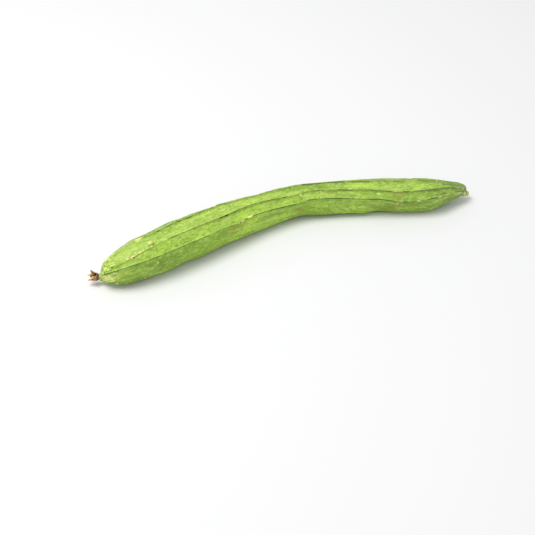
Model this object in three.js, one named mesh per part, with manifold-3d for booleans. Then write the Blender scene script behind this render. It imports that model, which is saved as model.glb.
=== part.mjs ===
// One ridge gourd (angled luffa), as picked, lying on its side on a flat surface.
// Millimetres, +Z up. +X runs from the blossom end to the stem end. The origin is on the surface,
// under the middle of the gourd's box.

import * as THREE from 'three';
import { mergeVertices } from 'three/addons/utils/BufferGeometryUtils.js';
import Module from 'manifold-3d';

const wasm = await Module();
wasm.setup();

// The fruit from neck to neck, one row for each station:
// along and across place its middle line seen from above, radius reaches the ridge crests, and lift is
// the gap under the crests. crests are the angles of the three front ridges, and twist turns the others.
const STATIONS = [
  { along: 0, across: -6.4, radius: 3.3, lift: 6.6, crests: [34, 58, 104], twist: 3 },
  { along: 2.6, across: -7.0, radius: 4.4, lift: 5.1, crests: [35, 56, 108], twist: 3 },
  { along: 6.6, across: -8.0, radius: 8.0, lift: 3.1, crests: [37, 54, 113], twist: 3 },
  { along: 14, across: -10.2, radius: 14.8, lift: 1.2, crests: [38, 54, 117], twist: 2 },
  { along: 28, across: -9.8, radius: 19.1, lift: 0.2, crests: [35, 57.5, 116], twist: 1 },
  { along: 52, across: -5.2, radius: 21.6, lift: 0, crests: [31, 63, 109], twist: 0 },
  { along: 90, across: 5.5, radius: 22.8, lift: 0, crests: [28, 61.5, 104.5], twist: -1 },
  { along: 132, across: 17.4, radius: 21.9, lift: 0, crests: [28.5, 61.5, 110], twist: 0 },
  { along: 178, across: 29, radius: 19.8, lift: 0.1, crests: [34, 68.5, 107], twist: 2 },
  { along: 222, across: 36, radius: 18, lift: 0, crests: [29.5, 61.5, 108], twist: 3 },
  { along: 262, across: 31, radius: 18.4, lift: 0, crests: [34.5, 65.5, 107], twist: 3 },
  { along: 304, across: 20.5, radius: 18.3, lift: 0.1, crests: [26, 58.5, 100.5], twist: 0 },
  { along: 344, across: 8.2, radius: 18.3, lift: 0, crests: [14, 48.5, 96], twist: -6 },
  { along: 370, across: 0.6, radius: 18.2, lift: 0.1, crests: [19, 51.5, 95.5], twist: -6 },
  { along: 387, across: 0, radius: 14.6, lift: 2.4, crests: [22, 54, 100], twist: -5 },
  { along: 401, across: 0.2, radius: 10.8, lift: 4.9, crests: [18, 53, 98], twist: -4 },
  { along: 412, across: -0.2, radius: 8.1, lift: 6.2, crests: [12, 49, 94], twist: -3 },
  { along: 416.6, across: -0.6, radius: 4.8, lift: 5.7, crests: [8, 46, 90], twist: -3 },
  { along: 419, across: -0.8, radius: 3.2, lift: 5.9, crests: [8, 46, 90], twist: -3 },
];
const SETTLE = 0.7; // the ridges under the fruit are pressed flat by this much

// The seven other ridges' angles round the fruit in degrees, 0 towards -Y and 90 up.
const OTHER_RIDGES = [139, 171, 204, 237, 270, 296, 319];
const RIDGE_HEIGHT = 1.5; // from the panels up to the crest
const CREST_WIDTH = 1.0;
const FOOT_WIDTH = 3.8;
const FULL_RIDGE_RADIUS = 15; // a thinner neck has lower ridges
const PANEL_ROUNDING = 0.35; // 0 is a flat panel from ridge to ridge, 1 a round one
const WIDE_PANEL = 50; // degrees from ridge to ridge
const WIDE_PANEL_ROUNDING = 0.6;
const CREST_SWING = 0.5; // degrees that a crest wanders to each side
const CREST_WAVE = 0.3; // millimetres that a crest rises and falls
const WAVES = [{ length: 19, share: 0.6, step: 2.4 }, { length: 7.3, share: 0.4, step: 4.1 }];
const WAVE_SHIFT = { along: 40, ridge: 3 }; // so that a crest rises elsewhere than it swings
const RING_SPACING = 6;
const END_RING_SPACING = 3;
const END_LENGTH = 24; // rings are closer together this near to either neck

// Where a ridge leaves its line for a short way: its number, the place, the reach, and degrees of turn.
const KINKS = [
  { ridge: 0, along: 150, reach: 9, turn: -4.5 },
  { ridge: 0, along: 243, reach: 14, turn: 4 },
  { ridge: 0, along: 322, reach: 12, turn: 3 },
  { ridge: 0, along: 341, reach: 6, turn: -4 },
  { ridge: 1, along: 243, reach: 14, turn: 4 },
  { ridge: 1, along: 290, reach: 9, turn: -1.5 },
];

// Low swellings and hollows of the skin: where they are, their reach along and round, and their height.
const SWELLINGS = [
  { along: 43, angle: 125, reach: 11, spread: 25, height: 1.6 },
  { along: 67, angle: 125, reach: 7, spread: 25, height: -0.6 },
  { along: 90, angle: 125, reach: 6, spread: 25, height: 0.7 },
  { along: 104, angle: 125, reach: 8, spread: 25, height: -0.7 },
  { along: 146, angle: 125, reach: 6, spread: 25, height: 1.4 },
  { along: 192, angle: 125, reach: 9, spread: 25, height: -1.3 },
  { along: 235, angle: 125, reach: 14, spread: 25, height: 1.2 },
  { along: 323, angle: 125, reach: 12, spread: 25, height: 0.9 },
  { along: 36, angle: -45, reach: 16, spread: 28, height: -1.1 },
  { along: 87, angle: -45, reach: 9, spread: 28, height: -0.9 },
  { along: 104, angle: -45, reach: 8, spread: 28, height: 0.7 },
  { along: 141, angle: -45, reach: 12, spread: 28, height: -0.9 },
  { along: 188, angle: -45, reach: 10, spread: 28, height: 0.7 },
  { along: 238, angle: -45, reach: 15, spread: 28, height: -2.2 },
  { along: 303, angle: -45, reach: 8, spread: 28, height: 0.8 },
  { along: 321, angle: -45, reach: 10, spread: 28, height: -1.7 },
  { along: 341, angle: 22, reach: 8, spread: 24, height: -0.7 },
];

const GAP = 0.3; // between the fruit's end faces and what grew on them
const GROUND_SIZE = 1000; // the block that the underside is cut with, wider than the fruit is long

// The stub of the stem, cut off close to the fruit. Its radii are at the base, at the waist and at the
// cut, and shoulderAt and waistAt are heights.
const STEM = {
  length: 3.1, base: 3.0, waist: 2.4, cut: 2.7, shoulderAt: 0.9, waistAt: 2.0,
  corners: 5, sides: 20, groove: 0.2, slope: 0.6,
};

// What is left of the flower: a dried cup with ragged lobes round it and a withered style inside.
// Its radii are at the neck, just above it, at the belly and at the mouth, and each At is a height.
const FLOWER = {
  cupLength: 4.8, neck: 2.9, shoulder: 3.4, shoulderAt: 0.8, belly: 4.2, bellyAt: 2.6, mouth: 4.0,
  hollowDepth: 3.0, wall: 0.9, sides: 20,
};
const LOBES = [
  { turn: 38, start: 3.4, length: 6.2, width: 3.0, curl: 1.3 },
  { turn: 66, start: 3.4, length: 9.0, width: 4.0, curl: -0.5 },
  { turn: 122, start: 3.4, length: 5.4, width: 3.8, curl: 0.5 },
  { turn: 190, start: 3.2, length: 7.8, width: 3.4, curl: 0.1 },
  { turn: 240, start: 2.8, length: 3.0, width: 3.4, curl: 2.0 },
];
const LOBE = { thickness: 1.2, root: 0.5, tip: 0.3, rings: 6, sides: 8 };
const STYLE = {
  length: 6.6, sunk: 1, radius: 0.9, throat: 0.7, throatAt: 4.6, head: 1.4, headAt: 5.9, top: 0.8, sides: 10,
};

const BLEND = 'catmullrom';
const TENSION = 0.5;
const UP = new THREE.Vector3(0, 0, 1);

const radians = THREE.MathUtils.degToRad;

// A smooth curve through one value or point of every station.
function through(pick) {
  const points = STATIONS.map((station) => new THREE.Vector3(...pick(station)));
  return new THREE.CatmullRomCurve3(points, false, BLEND, TENSION);
}
const spine = through((s) => [s.along, s.across, s.radius + s.lift - SETTLE]);
const girth = through((s) => [s.radius, s.twist]);
const frontCrests = through((s) => s.crests);

// Where along the curves the rings stand: closer together near the necks.
function ringPlaces() {
  const length = STATIONS.at(-1).along;
  const places = [];
  for (let i = 0; i < STATIONS.length - 1; i += 1) {
    const from = STATIONS[i].along;
    const to = STATIONS[i + 1].along;
    const nearEnd = from < END_LENGTH || to > length - END_LENGTH;
    const count = Math.ceil((to - from) / (nearEnd ? END_RING_SPACING : RING_SPACING));
    for (let k = 0; k < count; k += 1) places.push((i + k / count) / (STATIONS.length - 1));
  }
  places.push(1);
  return places;
}

// The directions of a ring: along the fruit, sideways towards -Y, and upwards.
function ringFrame(place) {
  const centre = spine.getPoint(place);
  const tangent = spine.getTangent(place);
  const side = new THREE.Vector3().crossVectors(tangent, UP).normalize();
  const up = new THREE.Vector3().crossVectors(side, tangent).normalize();
  return { centre, side, up };
}

// A slow wave, different for each ridge, from -1 to 1.
function wave(along, ridge) {
  return WAVES.reduce((sum, w) => sum + w.share * Math.sin(along / w.length + ridge * w.step), 0);
}

// 1 at no distance, falling smoothly to almost nothing at twice the reach.
function hill(distance, reach) {
  return Math.exp(-((distance / reach) ** 2));
}

// How far the skin swells at a distance along the fruit and an angle round it.
function swellingAt(along, angle) {
  return SWELLINGS.reduce((sum, s) => {
    const turn = THREE.MathUtils.euclideanModulo(angle - s.angle + 180, 360) - 180;
    return sum + s.height * hill(along - s.along, s.reach) * hill(turn, s.spread);
  }, 0);
}

// The angle of every ridge's crest in one cross-section.
function crestAngles(place, along, strength) {
  const others = OTHER_RIDGES.map((angle) => angle + girth.getPoint(place).y);
  return [...frontCrests.getPoint(place).toArray(), ...others].map((angle, ridge) => {
    const kinks = KINKS.filter((kink) => kink.ridge === ridge);
    const turn = kinks.reduce((sum, kink) => sum + kink.turn * hill(along - kink.along, kink.reach), 0);
    return angle + turn + CREST_SWING * wave(along, ridge) * strength;
  });
}

// The corners of one cross-section as angle and radius: crest, foot, panel middle and foot of every ridge,
// in the order in which a lathe turns.
function sectionCorners(place) {
  const { x: radius } = girth.getPoint(place);
  const along = spine.getPoint(place).x;
  const strength = Math.min(1, radius / FULL_RIDGE_RADIUS);
  const base = radius - RIDGE_HEIGHT * strength;
  const crestHalf = THREE.MathUtils.radToDeg(CREST_WIDTH * strength / 2 / radius);
  const footHalf = THREE.MathUtils.radToDeg(FOOT_WIDTH * strength / 2 / radius);
  const crests = crestAngles(place, along, strength);
  const corners = [];
  crests.forEach((crest, ridge) => {
    const next = ridge + 1 < crests.length ? crests[ridge + 1] : crests[0] + 360;
    const rise = CREST_WAVE * wave(along + WAVE_SHIFT.along, ridge + WAVE_SHIFT.ridge) * strength;
    const flat = Math.cos(radians((next - crest) / 2));
    const rounding = next - crest > WIDE_PANEL ? WIDE_PANEL_ROUNDING : PANEL_ROUNDING;
    const middle = base * (flat + (1 - flat) * rounding);
    corners.push([crest - crestHalf, radius + rise], [crest + crestHalf, radius + rise]);
    corners.push([crest + footHalf, base], [(crest + next) / 2, middle], [next - footHalf, base]);
  });
  const shaped = corners.map(([angle, reach]) => [angle, reach + swellingAt(along, angle) * strength]);
  return shaped.reverse();
}

// Welds a geometry's shared corners and makes a solid of it.
function solidOf(geometry) {
  const bare = geometry.index ? geometry.toNonIndexed() : geometry.clone();
  bare.deleteAttribute('normal');
  bare.deleteAttribute('uv');
  const welded = mergeVertices(bare, 1e-4);
  return new wasm.Manifold(new wasm.Mesh({
    numProp: 3,
    vertProperties: new Float32Array(welded.attributes.position.array),
    triVerts: new Uint32Array(welded.index.array),
  }));
}

// A solid back as a geometry, with flat faces.
function geometryOf(solid) {
  const made = solid.getMesh();
  const points = new Float32Array(made.numVert * 3);
  for (let i = 0; i < made.numVert; i += 1) {
    points.set(made.vertProperties.subarray(i * made.numProp, i * made.numProp + 3), i * 3);
  }
  const geometry = new THREE.BufferGeometry();
  geometry.setAttribute('position', new THREE.BufferAttribute(points, 3));
  geometry.setIndex(new THREE.BufferAttribute(new Uint32Array(made.triVerts), 1));
  const faceted = geometry.toNonIndexed();
  faceted.computeVertexNormals();
  return faceted;
}

// A lathe-turned blank whose rings are then moved: place(ring, side) gives each corner's point.
function shapedLathe(rings, sides, place) {
  const outline = [new THREE.Vector2(0, 0)];
  for (let ring = 0; ring < rings; ring += 1) outline.push(new THREE.Vector2(1, ring));
  outline.push(new THREE.Vector2(0, rings - 1));
  const blank = new THREE.LatheGeometry(outline, sides);
  const position = blank.attributes.position;
  const point = new THREE.Vector3();
  for (let i = 0; i < position.count; i += 1) {
    const row = i % outline.length;
    const side = Math.floor(i / outline.length) % sides;
    const ring = THREE.MathUtils.clamp(row - 1, 0, rings - 1);
    const onAxis = row === 0 || row === outline.length - 1;
    place(ring, onAxis ? null : side, point);
    position.setXYZ(i, point.x, point.y, point.z);
  }
  return blank;
}

// The fruit itself, with its ridges, pressed flat where it lies on the surface.
function fruit() {
  const places = ringPlaces();
  const frames = places.map(ringFrame);
  const sections = places.map(sectionCorners);
  const blank = shapedLathe(places.length, sections[0].length, (ring, side, point) => {
    const { centre, side: sideways, up } = frames[ring];
    point.copy(centre);
    if (side === null) return;
    const [angle, radius] = sections[ring][side];
    point.addScaledVector(sideways, radius * Math.cos(radians(angle)));
    point.addScaledVector(up, radius * Math.sin(radians(angle)));
  });
  const ground = new THREE.BoxGeometry(GROUND_SIZE, GROUND_SIZE, GROUND_SIZE);
  ground.translate(0, 0, -GROUND_SIZE / 2);
  return geometryOf(solidOf(blank).subtract(solidOf(ground)));
}

// Turns a shape that grows along +Z so that it grows along a direction from a point.
function aim(geometry, direction, origin) {
  const turn = new THREE.Quaternion().setFromUnitVectors(UP, direction.clone().normalize());
  return geometry.applyQuaternion(turn).translate(origin.x, origin.y, origin.z);
}

// The cut stub of the stem: five-sided, waisted, and sliced a little aslant.
function stem() {
  const { length, base, waist, cut, shoulderAt, waistAt, sides } = STEM;
  const rings = [[0, base], [shoulderAt, (base + waist) / 2], [waistAt, waist], [length, cut]];
  const blank = shapedLathe(rings.length, sides, (ring, side, point) => {
    const [height, radius] = rings[ring];
    const angle = side === null ? 0 : side / sides * Math.PI * 2;
    const reach = side === null ? 0 : radius + STEM.groove * Math.cos(angle * STEM.corners);
    const aslant = ring === rings.length - 1 ? STEM.slope * reach * Math.cos(angle) / cut : 0;
    point.set(reach * Math.cos(angle), reach * Math.sin(angle), height + aslant);
  });
  const direction = spine.getTangent(1);
  const origin = spine.getPoint(1).addScaledVector(direction, GAP);
  return geometryOf(solidOf(aim(blank, direction, origin)));
}

// One ragged lobe of the dried flower, rooted in the cup's wall and curling outwards or inwards.
function lobe({ turn, start, length, width, curl }) {
  const { thickness, root, tip, rings, sides } = LOBE;
  const blank = shapedLathe(rings, sides, (ring, side, point) => {
    const share = ring / (rings - 1);
    const bend = curl * share;
    const taper = Math.cos(share * Math.PI / 2) * (1 - tip) + tip;
    const angle = side === null ? 0 : side / sides * Math.PI * 2;
    const half = side === null ? 0 : 1 / 2;
    const outward = FLOWER.mouth - root + length * (1 - Math.cos(bend)) / curl;
    const along = start + length * Math.sin(bend) / curl;
    const thick = half * thickness * Math.cos(angle) * (1 + taper) / 2;
    point.set(
      outward + thick * Math.cos(bend),
      half * width * taper * Math.sin(angle),
      along - thick * Math.sin(bend));
  });
  return solidOf(blank.rotateZ(radians(turn)));
}

// A turned shape that stands on +Z, from pairs of radius and height.
function turned(outline, sides) {
  const profile = outline.map(([radius, height]) => new THREE.Vector2(radius, height));
  return new THREE.LatheGeometry(profile, sides).rotateX(Math.PI / 2);
}

// The dried flower: the hollow cup, its lobes and the withered style, grown together.
function flower() {
  const { cupLength, neck, shoulder, shoulderAt, belly, bellyAt, mouth, hollowDepth, wall, sides } = FLOWER;
  const floor = cupLength - hollowDepth;
  const root = floor - STYLE.sunk;
  const cup = turned([
    [0, 0], [neck, 0], [shoulder, shoulderAt], [belly, bellyAt], [mouth, cupLength],
    [mouth - wall, cupLength], [belly - wall, bellyAt], [neck, floor], [0, floor],
  ], sides);
  const style = turned([
    [0, root], [STYLE.radius, root], [STYLE.throat, STYLE.throatAt],
    [STYLE.head, STYLE.headAt], [STYLE.top, STYLE.length], [0, STYLE.length],
  ], STYLE.sides);
  let whole = solidOf(cup).add(solidOf(style));
  for (const shape of LOBES) whole = whole.add(lobe(shape));
  const outward = spine.getTangent(0).negate();
  const origin = spine.getPoint(0).addScaledVector(outward, GAP);
  return aim(geometryOf(whole), outward, origin);
}

function piece(name, geometry, color, roughness) {
  const mesh = new THREE.Mesh(geometry, new THREE.MeshStandardMaterial({ color, roughness, metalness: 0 }));
  mesh.name = name;
  return mesh;
}

const gourd = new THREE.Group();
gourd.add(
  piece('fruit', fruit(), 0x9dbf52, 0.5),
  piece('cut_stem', stem(), 0xd9d774, 0.6),
  piece('dried_flower', flower(), 0x8a5a34, 0.85),
);
const middle = new THREE.Box3().setFromObject(gourd).getCenter(new THREE.Vector3());
gourd.position.set(-middle.x, -middle.y, 0);

export default gourd;
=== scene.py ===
"""A ridge gourd as picked, lying on its side: bent ribbed fruit, cut stem stub and dried flower."""

import logging
import math
from dataclasses import dataclass
from enum import Enum, IntEnum
from typing import Any

import bpy
import numpy as np
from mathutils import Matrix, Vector


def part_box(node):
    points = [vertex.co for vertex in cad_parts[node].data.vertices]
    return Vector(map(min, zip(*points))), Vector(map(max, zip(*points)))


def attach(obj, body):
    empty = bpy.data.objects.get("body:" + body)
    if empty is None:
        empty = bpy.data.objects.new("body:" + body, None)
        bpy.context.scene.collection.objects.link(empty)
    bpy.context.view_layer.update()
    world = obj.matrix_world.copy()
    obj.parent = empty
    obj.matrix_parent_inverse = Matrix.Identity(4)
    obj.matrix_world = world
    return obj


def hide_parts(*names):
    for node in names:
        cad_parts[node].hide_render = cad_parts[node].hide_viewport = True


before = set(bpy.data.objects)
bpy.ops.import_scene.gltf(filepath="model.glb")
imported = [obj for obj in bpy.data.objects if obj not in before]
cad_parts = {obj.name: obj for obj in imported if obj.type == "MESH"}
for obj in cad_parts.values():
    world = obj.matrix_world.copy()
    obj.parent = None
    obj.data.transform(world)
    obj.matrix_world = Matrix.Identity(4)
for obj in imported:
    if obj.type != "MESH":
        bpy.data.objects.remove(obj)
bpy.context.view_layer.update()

LOG = logging.getLogger("ridge_gourd")
MM = 0.001
BODY = "root"
Array = np.ndarray


class Seed(IntEnum):
    """The seeds of everything that is drawn by chance."""

    NICKS = 5
    FAR_BLEMISHES = 8
    UNDULATION = 11
    FINE_UNDULATION = 12
    FAR_LINES = 14
    RAGGEDNESS = 31
    PANELS = 32
    RIM = 41
    CUP = 42
    LOBES = 50  # and one more for each further lobe
    STYLE = 60


def linear_from_hex(colour: str) -> tuple[float, float, float, float]:
    """Turns an sRGB hex colour into linear values.

    Args:
        colour: The colour, as "#rrggbb".

    Returns:
        Linear red, green and blue, and an alpha of 1.
    """
    values = [int(colour[i:i + 2], 16) / 255 for i in (1, 3, 5)]
    linear = [v / 12.92 if v <= 0.04045 else ((v + 0.055) / 1.055) ** 2.4 for v in values]
    return (linear[0], linear[1], linear[2], 1.0)


def add(tree: bpy.types.NodeTree, kind: str, settings: dict[str | int, Any]) -> bpy.types.Node:
    """Adds one node, with its settings and the links into it.

    Args:
        tree: The node tree that the node goes into.
        kind: The node's type, such as "ShaderNodeTexNoise".
        settings: Values by property name, or by the name or number of an input. A value that is
            another node's output is linked, "#rrggbb" is a colour, and "stops" fills a colour ramp.

    Returns:
        The new node.
    """
    node = tree.nodes.new(kind)
    for key, value in settings.items():
        if isinstance(value, str) and value.startswith("#"):
            value = linear_from_hex(value)
        if isinstance(value, bpy.types.NodeSocket):
            tree.links.new(value, node.inputs[key])
        elif key == "stops":
            ramp = node.color_ramp.elements
            while len(ramp) < len(value):
                ramp.new(0.5)
            for element, (position, colour) in zip(ramp, value):
                element.position = position
                element.color = linear_from_hex(colour)
        elif isinstance(key, int) or key in node.inputs:
            node.inputs[key].default_value = value
        else:
            setattr(node, key, value)
    return node


def empty_material(name: str) -> bpy.types.Material:
    """Makes a material whose node tree is still empty.

    Args:
        name: The material's name.

    Returns:
        The material.
    """
    material = bpy.data.materials.new(name)
    material.use_nodes = True
    material.node_tree.nodes.clear()
    return material


def finish_material(material: bpy.types.Material, height: Any, relief_mm: float, strength: float,
                    look: dict[str | int, Any]) -> bpy.types.Material:
    """Ends a material with its relief, its surface and its output.

    Args:
        material: The material.
        height: The output that the relief follows.
        relief_mm: How far the relief stands up, in millimetres.
        strength: How strongly the relief shows, from 0 to 1.
        look: The surface's other values and links, by input.

    Returns:
        The material.
    """
    tree = material.node_tree
    bump = add(tree, "ShaderNodeBump",
               {"Strength": strength, "Distance": relief_mm * MM, "Height": height}).outputs[0]
    surface = add(tree, "ShaderNodeBsdfPrincipled", {**look, "Normal": bump}).outputs[0]
    add(tree, "ShaderNodeOutputMaterial", {"Surface": surface})
    return material


def smooth_step(low: float, high: float, value: Array) -> Array:
    """A smooth rise from 0 at low to 1 at high."""
    share = np.clip((value - low) / (high - low), 0, 1)
    return share * share * (3 - 2 * share)


def hill(distance: Array, reach: float) -> Array:
    """1 at distance 0, falling smoothly to almost nothing at twice the reach."""
    return np.exp(-(distance / reach) ** 2)


def slow_wave(along: Array, ridge: Array) -> Array:
    """A slow wave along each ridge, from -1 to 1."""
    return np.sin(along / 19 + ridge * 2.4) * 0.6 + np.sin(along / 7.3 + ridge * 4.1) * 0.4


def stretch_of(along: Array, rise: tuple[float, float], fall: tuple[float, float]) -> Array:
    """1 over a stretch, after a smooth rise at its start and before a smooth fall at its stop."""
    return smooth_step(*rise, along) * (1 - smooth_step(*fall, along))


def turn_from(start: Array | float, angle: Array) -> Array:
    """The turn from one angle to another, from -180 to 180 degrees."""
    return (angle - start + 180) % 360 - 180


def full_turn(sides: int) -> Array:
    """Angles spread evenly once round, in radians."""
    return np.linspace(0, 2 * math.pi, sides, endpoint=False)


def ring_points(reach: Array, turn: Array, height: Array) -> Array:
    """The points of rings, from each point's distance from the middle, its turn and its height."""
    return np.stack(np.broadcast_arrays(reach * np.cos(turn), reach * np.sin(turn), height), axis=-1)


def curve_through(points: Array, places: Array) -> Array:
    """Follows the smooth curve through a row of points.

    Args:
        points: The points that the curve goes through, one in each row.
        places: Where to read the curve: 0 is the first point, 1 the second, and so on.

    Returns:
        The curve's point at each place.
    """
    ends = (2 * points[0] - points[1], 2 * points[-1] - points[-2])
    padded = np.vstack([ends[0], points, ends[1]])
    first = np.clip(np.floor(places).astype(int), 0, len(points) - 2)
    share = (places - first)[:, None]
    before, start, stop, after = (padded[first + k] for k in range(4))
    leave = (stop - before) / 2
    arrive = (after - start) / 2
    cubic = 2 * start - 2 * stop + leave + arrive
    square = 3 * stop - 3 * start - 2 * leave - arrive
    return ((cubic * share + square) * share + leave) * share + start


def ripple(seed: int, along: Array, angle: Array, long_mm: float, turns: int, count: int = 28) -> Array:
    """A seeded field of soft waves over the skin, mostly between -1 and 1.

    Args:
        seed: Chooses the waves.
        along: Distance along the fruit, in millimetres.
        angle: Angle round the fruit, in degrees.
        long_mm: The shortest wave along the fruit, in millimetres.
        turns: The most waves that fit once round the fruit.
        count: How many waves are added up.

    Returns:
        The field's value at each point.
    """
    draw = np.random.default_rng(seed)
    total = np.zeros(np.broadcast(along, angle).shape)
    for _ in range(count):
        pitch = long_mm * draw.uniform(1, 4)
        round_it = int(draw.integers(-turns, turns + 1))
        phase = draw.uniform(0, 2 * math.pi)
        total = total + np.cos(2 * math.pi * along / pitch + np.radians(angle) * round_it + phase)
    return total / math.sqrt(count)


def in_scene(name: str, data: Any) -> bpy.types.Object:
    """Puts a new object in the scene.

    Args:
        name: The object's name.
        data: Its mesh, lamp or camera.

    Returns:
        The object.
    """
    thing = bpy.data.objects.new(name, data)
    bpy.context.scene.collection.objects.link(thing)
    return thing


def skin_over(name: str, rings: Array, material: bpy.types.Material,
              paints: dict[str, Array]) -> bpy.types.Object:
    """Makes a closed piece from a row of rings, with a cap on the first and the last.

    Args:
        name: The piece's name.
        rings: Points in millimetres, in the part's frame: ring, point in the ring, and X, Y and Z.
        material: The piece's finish.
        paints: Numbers or vectors for each ring or each point, kept on the mesh by name.

    Returns:
        The new object.
    """
    count, sides = rings.shape[:2]
    caps = [rings[0].mean(0), rings[-1].mean(0)]
    points = np.vstack([rings.reshape(-1, 3), caps]) * MM
    start = np.arange(count * sides).reshape(count, sides)
    beside = np.roll(start, -1, axis=1)
    quads = np.stack([start[:-1], beside[:-1], beside[1:], start[1:]], axis=-1).reshape(-1, 4)
    first_cap = [(count * sides, int(b), int(a)) for a, b in zip(start[0], beside[0])]
    last_cap = [(count * sides + 1, int(a), int(b)) for a, b in zip(start[-1], beside[-1])]
    mesh = bpy.data.meshes.new(name)
    mesh.from_pydata(points.tolist(), [], quads.tolist() + first_cap + last_cap)
    mesh.shade_smooth()
    for label, values in paints.items():
        is_vector = values.ndim == 3
        spread = np.broadcast_to(values, rings.shape if is_vector else (count, sides))
        flat = spread.reshape(count * sides, -1)
        whole = np.vstack([flat, flat[:sides].mean(0), flat[-sides:].mean(0)])
        layer = mesh.attributes.new(label, "FLOAT_VECTOR" if is_vector else "FLOAT", "POINT")
        layer.data.foreach_set("vector" if is_vector else "value", whole.astype(np.float32).ravel())
    mesh.materials.append(material)
    return in_scene(name, mesh)


def hand_over(piece: bpy.types.Object, node: str) -> None:
    """Lets a piece stand for a node of the part, and reports it.

    Args:
        piece: The finished piece.
        node: The node that it stands for.
    """
    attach(piece, BODY)
    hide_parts(node)
    LOG.info("%s: %d faces, stands for %s", piece.name, len(piece.data.polygons), node)


@dataclass(frozen=True)
class Station:
    """One cross-section of the fruit, in millimetres and degrees.

    along and across place its middle seen from above, radius reaches the crests of the ridges, and lift
    is the gap under them. crests are the angles of the three front ridges, and twist turns the others.
    """

    along: float
    across: float
    radius: float
    lift: float
    crests: tuple[float, float, float]
    twist: float


STATIONS = tuple(Station(*row) for row in (
    (0, -6.4, 3.3, 6.6, (34, 58, 104), 3),
    (2.6, -7.0, 4.4, 5.1, (35, 56, 108), 3),
    (6.6, -8.0, 8.0, 3.1, (37, 54, 113), 3),
    (14, -10.2, 14.8, 1.2, (38, 54, 117), 2),
    (28, -9.8, 19.1, 0.2, (35, 57.5, 116), 1),
    (52, -5.2, 21.6, 0, (31, 63, 109), 0),
    (90, 5.5, 22.8, 0, (28, 61.5, 104.5), -1),
    (132, 17.4, 21.9, 0, (28.5, 61.5, 110), 0),
    (178, 29, 19.8, 0.1, (34, 68.5, 107), 2),
    (222, 36, 18, 0, (29.5, 61.5, 108), 3),
    (262, 31, 18.4, 0, (34.5, 65.5, 107), 3),
    (304, 20.5, 18.3, 0.1, (26, 58.5, 100.5), 0),
    (344, 8.2, 18.3, 0, (14, 48.5, 96), -6),
    (370, 0.6, 18.2, 0.1, (19, 51.5, 95.5), -6),
    (387, 0, 14.6, 2.4, (22, 54, 100), -5),
    (401, 0.2, 10.8, 4.9, (18, 53, 98), -4),
    (412, -0.2, 8.1, 6.2, (12, 49, 94), -3),
    (416.6, -0.6, 4.8, 5.7, (8, 46, 90), -3),
    (419, -0.8, 3.2, 5.9, (8, 46, 90), -3),
))

# The other ridges' angles round the fruit, and the angle that each of the ten has on average.
OTHER_RIDGES = (139, 171, 204, 237, 270, 296, 319)
USUAL_ANGLES = np.array([29, 60, 105, *OTHER_RIDGES])
RIDGE_COUNT = len(USUAL_ANGLES)
FRONT_RIDGES = RIDGE_COUNT - len(OTHER_RIDGES)


@dataclass(frozen=True)
class Kink:
    """A place where a ridge leaves its line for a short way. Millimetres, and degrees of turn."""

    ridge: int
    along: float
    reach: float
    turn: float


KINKS = (
    Kink(0, 150, 9, -4.5),
    Kink(0, 243, 14, 4),
    Kink(0, 322, 12, 3),
    Kink(0, 341, 6, -4),
    Kink(1, 243, 14, 4),
    Kink(1, 290, 9, -1.5),
)


# Low swellings and hollows of the skin, by the angle that they lie at and their spread round it in
# degrees: where each is along the fruit, its reach along it and its height, in millimetres.
SWELLINGS = {
    (125, 25): (
        (43, 11, 1.6), (67, 7, -0.6), (90, 6, 0.7), (104, 8, -0.7), (146, 6, 1.4), (192, 9, -1.3),
        (235, 14, 1.2), (323, 12, 0.9),
    ),
    (-45, 28): (
        (36, 16, -1.1), (87, 9, -0.9), (104, 8, 0.7), (141, 12, -0.9), (188, 10, 0.7), (238, 15, -2.2),
        (303, 8, 0.8), (321, 10, -1.7),
    ),
    (22, 24): (
        (341, 8, -0.7),
    ),
}


@dataclass(frozen=True)
class Sections:
    """A row of cross-sections, one in each row of every array.

    crests are the ridges' angles, travelled is the way along the middle line, and strength is how high
    the ridges are, from 0 to 1.
    """

    middle: Array
    forward: Array
    sideways: Array
    upward: Array
    radius: Array
    crests: Array
    travelled: Array
    strength: Array


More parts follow.
